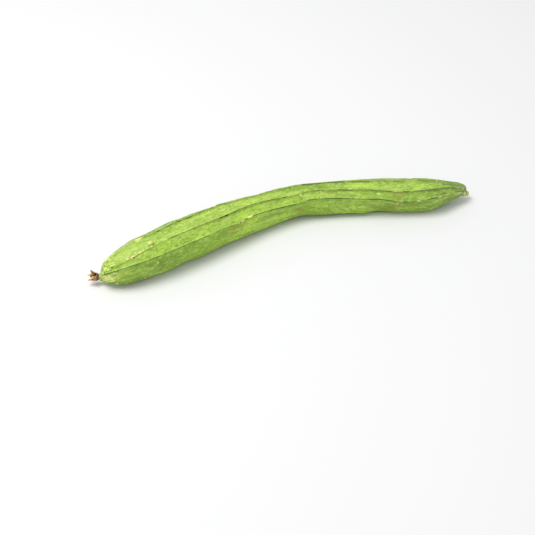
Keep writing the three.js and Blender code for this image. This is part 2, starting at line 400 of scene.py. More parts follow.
@dataclass(frozen=True)
class Growth:
    """The fruit's middle line, girth and ridge lines, worked out from its stations."""

    settle: float = 0.7  # the ridges under the fruit are pressed flat by this much
    step: float = 1.18  # from ring to ring along the fruit
    end_step: float = 0.5  # from ring to ring near either end
    end_length: float = 13.0
    trace_points: int = 6000  # that the middle line's length is measured with
    crest_swing: float = 0.5  # degrees
    full_ridge_radius: float = 15.0  # a thinner neck has lower ridges

    def _trace(self, places: Array) -> tuple[Array, Array]:
        """Follows the stations.

        Args:
            places: Where to read them: 0 is the first station, 1 the second, and so on.

        Returns:
            The middle line's points, and the radius, twist and front crests beside them.
        """
        spine = np.array([(s.along, s.across, s.radius + s.lift - self.settle) for s in STATIONS])
        girth = np.array([(s.radius, s.twist, *s.crests) for s in STATIONS])
        return curve_through(spine, places), curve_through(girth, places)

    def _crests(self, along: Array, girth: Array, strength: Array) -> Array:
        """Works out where the ridges run.

        Args:
            along: How far along the fruit every section is.
            girth: The radius, twist and front crests of every section.
            strength: How strong the ridges are in every section, from 0 to 1.

        Returns:
            The angle of every ridge's crest in every section.
        """
        others = np.array(OTHER_RIDGES)[None, :] + girth[:, 1:2]
        crests = np.hstack([girth[:, 2:], others])
        for kink in KINKS:
            crests[:, kink.ridge] += kink.turn * hill(along - kink.along, kink.reach)
        swing = slow_wave(along[:, None], np.arange(RIDGE_COUNT)[None, :])
        return crests + self.crest_swing * swing * strength[:, None]

    def sections(self) -> Sections:
        """Spaces rings along the fruit, closer together near both ends.

        Returns:
            The cross-sections from the flower end to the stem end.
        """
        fine = np.linspace(0, len(STATIONS) - 1, self.trace_points)
        line, _ = self._trace(fine)
        steps = np.linalg.norm(np.diff(line, axis=0), axis=1)
        travelled = np.concatenate([[0], np.cumsum(steps)])
        whole = travelled[-1]
        tip = np.arange(0, self.end_length, self.end_step)
        body = np.arange(self.end_length, whole - self.end_length, self.step)
        stops = np.concatenate([tip, body, np.flip(whole - tip)])
        places = np.interp(stops, travelled, fine)
        middle, girth = self._trace(places)
        nudge = 1e-3
        ahead, _ = self._trace(np.minimum(places + nudge, len(STATIONS) - 1))
        behind, _ = self._trace(np.maximum(places - nudge, 0))
        forward = ahead - behind
        forward /= np.linalg.norm(forward, axis=1)[:, None]
        sideways = np.cross(forward, (0, 0, 1))
        sideways /= np.linalg.norm(sideways, axis=1)[:, None]
        upward = np.cross(sideways, forward)
        strength = np.minimum(1, girth[:, 0] / self.full_ridge_radius)
        crests = self._crests(middle[:, 0], girth, strength)
        return Sections(middle, forward, sideways, upward, girth[:, 0], crests, stops, strength)


class Mark(Enum):
    """What is painted on the skin, each kind kept on the mesh under its own name."""

    # painted light and painted shade, partly the skin's own lighter and darker green
    LIGHT = "light"
    SHADE = "shade"
    DARK_LINE = "dark_line"
    BROWN_LINE = "brown_line"
    PALE_LINE = "pale_line"
    TAN_LINE = "tan_line"
    SCAB = "scab"
    STAIN = "stain"
    PALE = "pale"
    NICK = "nick"


@dataclass(frozen=True)
class Stretch:
    """A stretch of the line on a ridge's crest, from start to stop along the fruit. Millimetres."""

    ridge: int
    mark: Mark
    start: float
    stop: float
    strength: float = 1.0
    width: float = 0.6


# The lines on the three front crests, by ridge and kind: start, stop, strength, and width if it isn't usual.
# The dark lines are partly the crests' own colour and partly painted shadow beside them.
CREST_LINES = {
    (0, Mark.DARK_LINE): (
        (8, 26, 0.82, 0.65), (24, 60, 0.6), (60, 116, 0.58), (118, 137, 0.35), (158, 206, 0.65),
        (204, 227, 0.8, 0.6), (226, 346, 0.5), (240, 251, 0.75), (260, 289, 0.8), (305, 337, 0.85),
        (343, 349, 0.85), (368, 378, 0.7),
    ),
    (0, Mark.BROWN_LINE): (
        (138, 151, 0.6),
    ),
    (0, Mark.TAN_LINE): (
        (149, 160, 0.8, 0.9), (350, 359, 0.5), (371, 375, 0.9, 0.7), (377, 383, 1.1, 0.9),
        (385, 395, 0.8, 0.8), (396, 404, 0.8, 0.6), (405, 412, 1.0, 0.9),
    ),
    (1, Mark.DARK_LINE): (
        (14, 26, 0.3, 0.8), (71, 86, 0.8), (143, 181, 0.75), (209, 219, 0.75), (234, 246, 0.55),
        (262, 276, 0.4), (274, 294, 0.95, 0.65), (293, 334, 0.65), (344, 353, 0.95, 0.62),
        (353, 396, 0.68), (395, 413, 0.4),
    ),
    (1, Mark.BROWN_LINE): (
        (86, 131, 0.8, 0.48), (131, 145, 1.1, 0.75), (181, 208, 0.75), (218, 236, 0.4), (245, 263, 0.8),
    ),
    (1, Mark.TAN_LINE): (
        (334, 344, 0.9, 0.7),
    ),
    (2, Mark.PALE_LINE): (
        (10, 24, 0.95, 1.7), (22, 46, 0.62, 1.2),
    ),
    (2, Mark.TAN_LINE): (
        (45, 54, 0.6, 1.1),
    ),
    (2, Mark.DARK_LINE): (
        (54, 92, 0.35), (56, 59, 0.9), (68, 73, 1.2, 0.9), (76, 89, 0.9), (181, 186, 0.9),
        (186, 240, 0.38, 1.1), (238, 286, 0.58, 1.4), (286, 312, 0.65, 1.2), (314, 350, 0.55, 0.9),
        (359, 369, 0.8),
    ),
    (2, Mark.BROWN_LINE): (
        (90, 112, 0.7, 0.7), (91, 97, 1.2, 0.9), (100, 112, 1.0, 0.8), (112, 182, 0.6, 0.9),
    ),
}
STRETCHES = tuple(Stretch(*key, *row) for key, rows in CREST_LINES.items() for row in rows)


@dataclass(frozen=True)
class Blemish:
    """One marking: its place, and its reach along the fruit and round it, in millimetres.

    The angle is counted round the fruit, 0 towards -Y and 90 up. lean is how far it shifts along the
    fruit for each millimetre round it.
    """

    mark: Mark
    along: float
    angle: float
    long: float
    wide: float
    strength: float = 1.0
    lean: float = 0.0


# The markings that show from the front, by kind: along, angle, reach along and reach round, and then
# strength and lean where they aren't 1 and 0.
SPOTS = {
    # broad, soft patches of painted light and painted shade, partly the skin's own lighter and darker green
    Mark.LIGHT: (
        (12, 50, 9, 3.4, 0.7), (15, 24, 8, 9, 1.0), (15, 12, 8, 5, 1.2), (36, 54, 20, 1.6, 0.9),
        (84, 80, 26, 4, 0.35), (168, 42, 22, 3, 0.9), (176, 2, 20, 11, 1.5), (176, -27, 30, 12, 2.4),
        (206, -12, 14, 7, 1.1), (190, 84, 26, 5, 0.4), (174, 75, 14, 4, 0.9), (248, 71, 30, 2.5, 0.5),
        (306, 80, 20, 5, 0.85), (266, 12, 13, 6, 0.7), (286, -22, 22, 8, 1.1), (362, 73, 8, 4, 0.9),
    ),
    Mark.SHADE: (
        (18, 75, 9, 9, 1.2), (55, 71, 16, 4, 0.9), (389, 73, 14, 5, 1.4), (262, 93, 24, 6, 1.1),
        (240, 102, 26, 5, 1.2), (272, 114, 38, 7, 1.25), (322, 112, 14, 4, 0.6), (378, 110, 9, 5, 0.6),
        (345, 90, 12, 4, 0.6), (398, 86, 14, 8, 0.7), (56, -6, 34, 11, 1.1), (42, -30, 24, 9, 1.1),
        (12, -30, 11, 5, 1.2), (33, 41, 8, 4, 2.0), (236, 4, 12, 7, 0.5), (250, 55, 26, 3, 0.9),
        (290, 41, 24, 3.4, 1.0), (326, -12, 14, 12, 0.9), (356, -6, 18, 9, 1.5), (320, 52, 22, 2.6, 0.5),
        # the last three are painted shadow of a groove just inside the top outline, near the flower end
        (391, 40, 15, 6, 1.9), (398, -16, 16, 7, 0.9), (17, 103, 5, 1.2, 1.1), (26, 107, 7, 1.1, 1.0),
        (37, 105, 7, 1.0, 0.9),
    ),
    # corky scars
    Mark.SCAB: (
        (30, 59, 2.6, 1.3, 0.9), (34.5, 58, 3.0, 2.1, 1.15), (39, 60, 3.0, 1.1, 0.9),
        (46, 63, 2.0, 0.8, 0.9), (55, 65, 2.4, 1.4, 1.1), (339, 3, 1.2, 4.2, 1.1, 0.3),
        (361, 14, 3.0, 1.7, 0.95), (379, 20, 2.2, 1.0, 0.9), (415.5, 10, 2.0, 2.2, 1.3),
        (412, 47, 2.6, 1.2, 0.7), (355, -18, 2.4, 0.9, 0.8), (41, -40, 1.5, 1.1),
        (11, 90, 1.8, 1.3, 0.85),
    ),
    # soft brown and reddish stains
    Mark.STAIN: (
        (58, 68, 2.6, 1.6), (81, 5, 1.5, 1.2, 0.9), (148, 16, 20, 3.4, 0.65), (143, 2, 2.6, 1.8, 0.8),
        (144, -2, 9, 6, 0.5), (232, 0, 9, 4, 0.7), (312, -15, 10, 3, 0.7), (342, 0, 14, 5, 0.5),
        (334, -26, 8, 5, 0.7), (341, 47, 5, 1.6, 0.9), (338, 36, 16, 4, 0.5), (270.5, 59, 9, 1.4, 0.8),
    ),
    # pale yellow spots and streaks
    Mark.PALE: (
        (43, 63, 3.2, 0.8), (56, 80, 3.0, 1.6, 0.8), (49, 109, 5, 1.6, 0.75), (405, 6, 9, 3, 0.45),
        (405, 54, 6, 3, 0.35), (9, 10, 8, 7, 0.56), (17, 20, 5, 4, 0.38), (92, 115, 2.6, 1.2, 0.8),
        (55, 11.5, 1.2, 1.0), (166, 34, 3.4, 1.2), (235, 61, 1.3, 1.0), (257.5, 63.4, 1.4, 0.9, 0.7),
        (277, 55.6, 1.2, 0.9, 0.6), (319, 43, 1.3, 1.0, 0.9), (331, 38, 1.2, 0.8, 0.6),
        (293, -6, 1.3, 0.9, 0.6), (382, 97, 1.0, 4.0, 0.7, 0.9),
    ),
    # dark nicks
    Mark.NICK: (
        (35.5, 56, 1.4, 0.8, 0.9), (56, 64, 1.1, 0.7, 0.8), (16.5, 56, 1.4, 0.7, 0.9),
        (153, 28, 1.2, 0.8, 0.9), (153, 22, 1.0, 0.8, 0.8), (255, 41, 0.6, 1.6, 0.9),
        (334, -6, 1.0, 1.4, 0.9), (386, 101, 1.4, 0.8, 0.8), (94, 105, 2.6, 1.1, 1.1),
        (106, 106, 2.8, 0.8, 1.0), (58, 70, 1.3, 1.2, 1.0), (77, 62.5, 2.4, 0.7, 0.9),
        (134, 61, 1.6, 0.7, 0.9), (140.5, 61.5, 2.6, 0.9, 1.1), (233.5, 113, 1.5, 1.7, 1.4),
    ),
}
BLEMISHES = tuple(Blemish(mark, *row) for mark, rows in SPOTS.items() for row in rows)


@dataclass(frozen=True)
class Vein:
    """The faint vein along the lower front panel, with a painted highlight line above it. Millimetres,
    degrees.
    """

    along: tuple[float, ...] = (178, 265, 280, 290, 300, 320, 345)
    angle: tuple[float, ...] = (12, 12, 9, 5, 2, 0, -2)
    rise: tuple[float, float] = (170, 190)  # it comes up here along the fruit
    fall: tuple[float, float] = (333, 349)  # and is lost again here
    width: float = 0.9
    # the painted highlight line lies this far above the vein
    highlight_above: float = 1.9

    def paints(self, along: Array, angle: Array, radius: Array) -> tuple[Array, Array]:
        """Draws the vein.

        Args:
            along: How far along the fruit every point is.
            angle: Its angle round the fruit, from -180 to 180.
            radius: The fruit's radius there.

        Returns:
            How much of the dark line and of the painted highlight line there is at every point.
        """
        above = np.radians(angle - np.interp(along, self.along, self.angle)) * radius
        inside = stretch_of(along, self.rise, self.fall)
        return hill(above, self.width) * inside, hill(above - self.highlight_above, self.width) * inside


@dataclass(frozen=True)
class Pattern:
    """A noise on the skin: its size along the fruit and across it in millimetres, and its detail.

    Streaks run along with the ridges (skin_mm), and spots keep their shape on the thin ends (round_mm).
    """

    long: float
    wide: float
    detail: float
    roughness: float
    layout: str = "skin_mm"


@dataclass(frozen=True)
class Coat:
    """A colour laid over the skin: none where its patterns' product is low, the most from high on."""

    patterns: str  # their names, with spaces between them
    colour: str
    low: float
    high: float
    most: float = 1.0


@dataclass(frozen=True)
class GourdSkin:
    """Ridge gourd skin: a thin waxy cuticle over green flesh, as grown.

    The eye sees a soft satin green that changes from panel to panel, faint lengthwise streaks, cloudy
    darker places, small pale flecks, and a thin broken line along the crest of every ridge, dark where
    the crest has rubbed and cream where it is young. The dark line is partly painted shadow beside the
    crest; the sides of the ridges carry painted shade, and broad patches of painted light and painted
    shade lie over the green.
    """

    green: str = "#a8cc4a"
    roughness: float = 0.5
    smoother: float = 0.08  # the roughness comes and goes by so much
    rougher: float = 0.12
    ior: float = 1.42  # plant cuticle wax
    shine: float = 0.4
    relief_mm: float = 0.18
    relief_strength: float = 0.55
    noise_places: tuple[float, float, float] = (7.3, 1.7, 4.1)  # the first once more for each noise
    # The streaks, flecks and warts are drawn a little coarser than life, so that they still show.
    noises: tuple[tuple[str, Pattern], ...] = (
        ("cloud", Pattern(34, 13, 3.0, 0.6)),
        ("cloud_two", Pattern(20, 9, 3.0, 0.6)),
        ("streak", Pattern(40, 2.0, 2.0, 0.5)),
        ("stripe", Pattern(70, 3.2, 1.0, 0.5)),
        ("mottle", Pattern(6, 3.6, 4.0, 0.7, "round_mm")),
        ("fleck", Pattern(3.0, 2.2, 2.0, 0.5, "round_mm")),
        ("speck", Pattern(4.0, 2.4, 2.0, 0.6, "round_mm")),
        ("wart", Pattern(2.7, 2.4, 1.0, 0.5, "round_mm")),
        ("broken", Pattern(8, 6, 3.0, 0.6)),
    )
    coats: tuple[Coat, ...] = (
        # the green of the panels, yellower and duller towards the stem
        Coat("upper_panel", "#a8c353", 0.1, 0.9),
        Coat("low_panel", "#92b92b", 0.1, 0.9),
        # painted shade on the back panel, just inside the top outline
        Coat("back_panel", "#86a43a", 0.1, 0.9, 0.95),
        # darker and duller towards the stem
        Coat("older", "#85a341", 0.0, 1.0, 0.5),
        Coat("flower_end", "#a4c450", 0.4, 1.0, 0.8),
        Coat("stem_end", "#879f60", 0.05, 0.95, 0.92),
        # painted light and painted shade in broad patches, partly the skin's own lighter and darker green
        Coat("light", "#bbe24c", 0.1, 1.0, 0.92),
        Coat("shade", "#6b9026", 0.1, 1.0, 0.84),
        Coat("cloud", "#7fa535", 0.42, 0.64, 0.55),
        Coat("cloud_two", "#c4e265", 0.44, 0.66, 0.5),
        Coat("streak", "#83a83a", 0.46, 0.68, 0.4),
        Coat("mottle", "#cae67a", 0.48, 0.66, 0.5),
        Coat("speck", "#6f9330", 0.5, 0.62, 0.55),
        Coat("fleck", "#d2e584", 0.57, 0.72, 0.4),
        # the pale warty flower end, and the striped neck at the stem end
        Coat("flower_end speck", "#83993f", 0.46, 0.58, 0.7),
        Coat("flower_end wart", "#e2ee86", 0.54, 0.62, 0.9),
        Coat("stem_end stripe", "#668346", 0.42, 0.56, 0.85),
        Coat("stem_end streak", "#a9bd84", 0.49, 0.63, 0.5),
        # the ridges
        # painted shade along both sides of every crest
        Coat("flank mottle", "#7d9f3c", 0.28, 0.6, 0.45),
        Coat("vein", "#7b973d", 0.1, 0.9, 0.6),
        # painted highlight along the vein's upper side
        Coat("vein_light", "#bcdd62", 0.1, 0.9, 0.5),
        Coat("pale_line mottle", "#e0ea98", 0.1, 0.5, 0.9),
        Coat("tan_line fleck", "#e0c48c", 0.22, 0.42, 0.9),
        Coat("brown_line broken", "#5f511c", 0.08, 0.36, 0.9),
        # the crests' dark line, partly painted shadow beside them
        Coat("dark_line broken", "#2c462e", 0.06, 0.38, 0.92),
        # blemishes, all with ragged edges
        Coat("pale mottle", "#eeee92", 0.1, 0.32, 0.92),
        Coat("stain mottle", "#98803c", 0.08, 0.46, 0.7),
        Coat("scab fleck", "#92763a", 0.14, 0.32, 0.8),
        Coat("scab mottle", "#eee598", 0.24, 0.4),
        Coat("nick fleck", "#453318", 0.14, 0.32),
    )
    reliefs: tuple[tuple[str, float], ...] = (
        ("streak", 0.5), ("fleck", 0.3), ("mottle", 0.6), ("flower_end wart", 1.2), ("scab", 1.0),
    )

    def build(self) -> bpy.types.Material:
        """Makes the skin's material.

        Returns:
            The material, which reads the numbers that the fruit keeps on its mesh.
        """
        material = empty_material("gourd_skin_waxy_cuticle")
        tree = material.node_tree
        found = self._patterns(tree)
        colour = add(tree, "ShaderNodeRGB", {}).outputs[0]
        colour.default_value = linear_from_hex(self.green)
        for coat in self.coats:
            cover = add(tree, "ShaderNodeMapRange",
                        {"interpolation_type": "SMOOTHSTEP", 0: self._product(tree, found, coat.patterns),
                         1: coat.low, 2: coat.high, 4: coat.most}).outputs[0]
            colour = add(tree, "ShaderNodeMix",
                         {"data_type": "RGBA", 0: cover, 6: colour, 7: coat.colour}).outputs[2]
        height = None
        for names, share in self.reliefs:
            raised = {"operation": "MULTIPLY_ADD", 0: self._product(tree, found, names), 1: share}
            if height:
                raised[2] = height
            height = add(tree, "ShaderNodeMath", raised).outputs[0]
        rough = add(tree, "ShaderNodeMapRange",
                    {0: found["mottle"], 3: self.roughness - self.smoother,
                     4: self.roughness + self.rougher}).outputs[0]
        return finish_material(material, height, self.relief_mm, self.relief_strength,
                               {"IOR": self.ior, "Specular IOR Level": self.shine, "Base Color": colour,
                                "Roughness": rough})

    def _patterns(self, tree: bpy.types.NodeTree) -> dict[str, Any]:
        """Adds everything that the coats and reliefs are made from.

        Args:
            tree: The skin's node tree.

        Returns:
            The outputs by name: the noises, each at its own real size, and the fruit's own numbers.
        """
        places = {name: add(tree, "ShaderNodeAttribute", {"attribute_name": name}).outputs["Vector"]
                  for name in ("skin_mm", "round_mm")}
        names = ("upper_panel", "low_panel", "back_panel", "older", "flank", "flower_end", "stem_end",
                 "vein", "vein_light")
        found = {name: add(tree, "ShaderNodeAttribute", {"attribute_name": name}).outputs["Fac"]
                 for name in (*names, *(mark.value for mark in Mark))}
        step, *still = self.noise_places
        for number, (name, size) in enumerate(self.noises):
            stretched = add(tree, "ShaderNodeMapping",
                            {"Scale": (1 / size.long, 1 / size.wide, 1 / size.wide),
                             "Location": (number * step, *still),
                             "Vector": places[size.layout]}).outputs[0]
            found[name] = add(tree, "ShaderNodeTexNoise",
                              {"Scale": 1.0, "Detail": size.detail, "Roughness": size.roughness,
                               "Vector": stretched}).outputs["Fac"]
        return found

    def _product(self, tree: bpy.types.NodeTree, found: dict[str, Any], names: str) -> Any:
        """Multiplies patterns.

        Args:
            tree: The skin's node tree.
            found: All the patterns' outputs by name.
            names: The names of one or more patterns, with spaces between them.

        Returns:
            The output that holds their product.
        """
        first, *others = names.split()
        amount = found[first]
        for name in others:
            amount = add(tree, "ShaderNodeMath",
                         {"operation": "MULTIPLY", 0: amount, 1: found[name]}).outputs[0]
        return amount


def laid_out(travelled: Array, radius: Array | float, angle: Array) -> Array:
    """Places points on a straight tube, from the way along it, its radius and the angle round it."""
    turned = np.radians(angle)
    return np.stack([travelled, radius * np.cos(turned), radius * np.sin(turned)], axis=-1)


@dataclass(frozen=True)
class Spread:
    """Points spread round every section of the fruit. Degrees, and millimetres for aside.

    own is a point's angle in a count that follows the ridges, aside its distance from the nearest crest,
    ridge the number of the ridge before it, and gap the turn from that ridge to the next.
    """

    angle: Array
    own: Array
    aside: Array
    ridge: Array
    gap: Array


@dataclass
class Fruit:
    """The fruit: ten ridges with flat panels between them, from neck to neck. Millimetres, degrees."""

    ridge_height: float = 1.5
    foot_width: float = 3.8
    foot_room: float = 1.3  # half the way to the next crest is at least this many times half a foot
    crest_round: float = 0.25
    steepness: float = 1.25  # above 1, the ridges are hollow at their feet
    panel_rounding: float = 0.35
    wide_panel: float = 50.0
    wide_panel_rounding: float = 0.6
    crest_wave: float = 0.3
    nick_depth: float = 0.5
    nicks_on_a_ridge: int = 11
    undulation: float = 0.2
    fine_undulation: float = 0.05
    upper_panel: int = 1
    back_panel: int = 2
    low_panel: int = 9
    calm_ridge: float = 60.0  # the ridge at this angle is low and clean over the flower half
    calm_spread: float = 12.0
    calm_until: tuple[float, float] = (80.0, 150.0)  # it rises to its full height between these
    calm_share: float = 0.45  # how much lower it is there
    # painted shade darkens the sides of the ridges as far as this
    crest_shade_width: float = 2.6  # the sides of the ridges are duller as far as this
    line_fade: tuple[float, float] = (2.0, 3.0)  # outside and inside the end of a crest's line
    far_blemishes: int = 46
    nominal_radius: float = 20.0  # its streaks and clouds are laid out on a fruit of this radius
    shift: Array | None = None

    def build(self, sections: Sections, skin: bpy.types.Material) -> bpy.types.Object:
        """Makes the fruit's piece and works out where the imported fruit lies.

        Args:
            sections: The cross-sections along the middle line.
            skin: The skin's material.

        Returns:
            The fruit.
        """
        spread = self._around(sections)
        reach = self._heights(sections, spread)
        turned = np.radians(spread.angle)[..., None]
        rings = sections.middle[:, None] + reach[..., None] * (
            np.cos(turned) * sections.sideways[:, None] + np.sin(turned) * sections.upward[:, None])
        rings[..., 2] = np.maximum(rings[..., 2], 0)
        low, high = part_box("fruit")
        cad_middle = (np.array(low) + np.array(high)) / 2 / MM
        own_middle = (rings.min((0, 1)) + rings.max((0, 1))) / 2
        self.shift = np.array([*(cad_middle - own_middle)[:2], 0])
        paints = self._paints(sections, spread)
        return skin_over("fruit_skin", rings[:, ::-1] + self.shift, skin,
                         {name: values[:, ::-1] for name, values in paints.items()})

    def _around(self, sections: Sections) -> Spread:
        """Spreads points round every section, closest together at the crests.

        Args:
            sections: The cross-sections.

        Returns:
            The points of every section, one section in each row.
        """
        # from the crest, in halves of its foot, and then in shares of the way to the panel's middle
        on_crest = np.array([0, 0.12, 0.25, 0.4, 0.58, 0.8, 1.1])
        on_panel = np.array([0.25, 0.5, 0.75, 1.0])
        foot = np.degrees(self.foot_width / 2 * sections.strength / sections.radius)[:, None]
        usual = np.array([*USUAL_ANGLES, USUAL_ANGLES[0] + 360])
        crests = np.hstack([sections.crests, sections.crests[:, :1] + 360])
        blocks = []
        for ridge in range(RIDGE_COUNT):
            gap = (crests[:, ridge + 1] - crests[:, ridge])[:, None]
            reach = np.minimum(foot, gap / 2 / self.foot_room)
            far = reach * on_crest[-1] + (gap / 2 - reach * on_crest[-1]) * on_panel
            one_side = np.hstack([reach * on_crest, far])
            offset = np.hstack([one_side, gap - one_side[:, -2:0:-1]])
            nearest = np.radians(np.minimum(offset, gap - offset)) * sections.radius[:, None]
            own = usual[ridge] + offset / gap * (usual[ridge + 1] - usual[ridge])
            blocks.append((crests[:, ridge, None] + offset, own, nearest, np.full(offset.shape, ridge),
                           np.broadcast_to(gap, offset.shape)))
        return Spread(*(np.hstack(column) for column in zip(*blocks)))

    def _heights(self, sections: Sections, spread: Spread) -> Array:
        """Adds up the panels, ridges, swellings and undulations.

        Args:
            sections: The cross-sections.
            spread: The points round them.

        Returns:
            Every point's distance from the middle line.
        """
        strength = sections.strength[:, None]
        along = sections.middle[:, :1]
        travelled = sections.travelled[:, None]
        base = sections.radius[:, None] - self.ridge_height * strength
        offset = spread.angle - np.take_along_axis(sections.crests, spread.ridge, axis=1)
        half = spread.gap / 2
        flat = np.cos(np.radians(half)) / np.cos(np.radians(offset - half))
        rounding = np.where(spread.gap > self.wide_panel, self.wide_panel_rounding, self.panel_rounding)
        panel = base * (flat + (1 - flat) * rounding)
        nearer = np.where(offset > half, spread.ridge + 1, spread.ridge) % RIDGE_COUNT
        from_crest = spread.aside / np.maximum(strength, 0.3)
        keel = 1 - smooth_step(self.crest_round, self.foot_width / 2, from_crest)
        # shifted, so that the height doesn't follow the swing
        wavy = self.crest_wave * slow_wave(along + 40, nearer + 3)
        broken = self.nick_depth * self._nicks(travelled, nearer)
        height = (self.ridge_height + wavy - broken) * strength * keel ** self.steepness
        height = height * (1 - self.calm_share * self._calm(spread.own, along))
        soft = self.undulation * ripple(Seed.UNDULATION, travelled, spread.own, 16, 14) * (1 - keel * 0.6)
        fine = self.fine_undulation * ripple(Seed.FINE_UNDULATION, travelled, spread.own, 7, 44)
        swollen = np.zeros(spread.angle.shape)
        for (angle, width), rows in SWELLINGS.items():
            round_it = hill(turn_from(angle, spread.angle), width)
            for place, length, size in rows:
                swollen += size * hill(along - place, length) * round_it
        return panel + height + (soft + fine + swollen) * strength

    def _calm(self, own: Array, along: Array) -> Array:
        """1 on the calm ridge where it is low and clean, 0 away from it."""
        return hill(own - self.calm_ridge, self.calm_spread) * (1 - smooth_step(*self.calm_until, along))

    def _nicks(self, travelled: Array, ridge: Array) -> Array:
        """Breaks the crests a little in seeded places.

        Args:
            travelled: The way along the middle line to every section.
            ridge: The number of the crest nearest to every point.

        Returns:
            1 at the bottom of a break, 0 away from them.
        """
        draw = np.random.default_rng(Seed.NICKS)
        total = np.zeros(np.broadcast(travelled, ridge).shape)
        for number in range(RIDGE_COUNT):
            for _ in range(self.nicks_on_a_ridge):
                place = draw.uniform(8, 425)
                reach = draw.uniform(0.9, 2.6)
                depth = draw.uniform(0.3, 1)
                total = total + depth * hill(travelled - place, reach) * (ridge == number)
        return np.minimum(total, 1)

    def _paints(self, sections: Sections, spread: Spread) -> dict[str, Array]:
        """Works out the numbers that the skin's material reads at every point.

        Args:
            sections: The cross-sections.
            spread: The points round them.

        Returns:
            The numbers, by name.
        """
        own, ridge, shape = spread.own, spread.ridge, spread.own.shape
        travelled = np.broadcast_to(sections.travelled[:, None], shape)
        along = np.broadcast_to(sections.middle[:, :1], shape)
        radius = np.broadcast_to(sections.radius[:, None], shape)
        to_end = travelled[-1, 0] - travelled
        raggedness = ripple(Seed.RAGGEDNESS, travelled, own, 5, 16)
        varied = 0.9 + 0.15 * ripple(Seed.PANELS, travelled, own, 50, 3)
        # every other panel of the far side is half as dark as the back one
        far_side = (ridge > self.back_panel) & (ridge < self.low_panel)
        dark_vein, painted_vein_highlight = Vein().paints(along, turn_from(0, spread.angle), radius)
        paints = {
            "skin_mm": laid_out(travelled, self.nominal_radius, own),
            "round_mm": laid_out(travelled, radius, spread.angle),
            "upper_panel": varied * (ridge == self.upper_panel),
            "low_panel": varied * (ridge == self.low_panel),
            # painted shade on the back panel, just inside the top outline
            "back_panel": varied * np.where(far_side, 0.5 * (ridge % 2), ridge == self.back_panel),
            "older": smooth_step(150, 400, along),
            # painted shade along both sides of every crest, none on the calm ridge
            "flank": hill(spread.aside, self.crest_shade_width) * (1 - self._calm(own, along)),
            "flower_end": 1 - smooth_step(17, 40, travelled + raggedness * 2.5),
            "stem_end": 1 - smooth_step(12, 62, to_end + raggedness * 5),
            "vein": dark_vein,
            "vein_light": painted_vein_highlight,
        }
        for mark in Mark:
            paints[mark.value] = np.zeros(shape)
        for spot in (*BLEMISHES, *self._far_side_blemishes()):
            round_it = np.radians(turn_from(spot.angle, spread.angle)) * radius
            near = hill(along - spot.along - spot.lean * round_it, spot.long) * hill(round_it, spot.wide)
            paints[spot.mark.value] = np.maximum(paints[spot.mark.value], near * spot.strength)
        outward, inward = self.line_fade
        for part in (*STRETCHES, *self._far_side_stretches()):
            round_it = np.radians(turn_from(sections.crests[:, part.ridge, None], spread.angle)) * radius
            inside = stretch_of(along, (part.start - outward, part.start + inward),
                                (part.stop - inward, part.stop + outward))
            near = hill(round_it, part.width) * inside * part.strength
            paints[part.mark.value] = np.maximum(paints[part.mark.value], near)
        return paints

    def _far_side_stretches(self) -> list[Stretch]:
        """Scatters stretches of line on the crests of the far side and the underside.

        Returns:
            The stretches, broken now and then from one end of the fruit to the other.
        """
        draw = np.random.default_rng(Seed.FAR_LINES)
        last_start, last_stop = 395, 410
        parts = []
        for ridge in range(FRONT_RIDGES, self.low_panel):
            start = draw.uniform(8, 30)
            while start < last_start:
                stop = min(start + draw.uniform(10, 48), last_stop)
                mark = Mark.BROWN_LINE if draw.uniform() < 0.25 else Mark.DARK_LINE
                parts.append(Stretch(ridge, mark, start, stop, draw.uniform(0.5, 0.95)))
                start = stop + draw.uniform(2, 16)
        return parts

    def _far_side_blemishes(self) -> list[Blemish]:
        """Scatters small blemishes over the far side and the underside.

        Returns:
            The blemishes, with the nicks on the crests.
        """
        draw = np.random.default_rng(Seed.FAR_BLEMISHES)
        kinds = (Mark.SCAB, Mark.STAIN, Mark.PALE, Mark.PALE, Mark.NICK)
        spots = []
        for _ in range(self.far_blemishes):
            ridge = int(draw.integers(FRONT_RIDGES, RIDGE_COUNT - 1))
            mark = kinds[int(draw.integers(len(kinds)))]
            aside = 0 if mark is Mark.NICK else draw.uniform(-14, 14)
            long = draw.uniform(0.9, 3.6)
            spots.append(Blemish(mark, draw.uniform(25, 405), USUAL_ANGLES[ridge] + aside, long,
                                 long * draw.uniform(0.3, 0.7), draw.uniform(0.7, 1)))
        return spots


@dataclass(frozen=True)
class Outgrowth:
    """The place and directions of what grows on an end of the fruit.

    forward points out of the fruit, and beside lies towards +Y. across points up at the flower end and
    down at the stem end.
    """

    origin: Array
    forward: Array
    across: Array
    beside: Array

    def placed(self, points: Array) -> Array:
        """Puts points there that are given as distances across, beside and forward."""
        return (self.origin + points[..., :1] * self.across + points[..., 1:2] * self.beside
                + points[..., 2:] * self.forward)


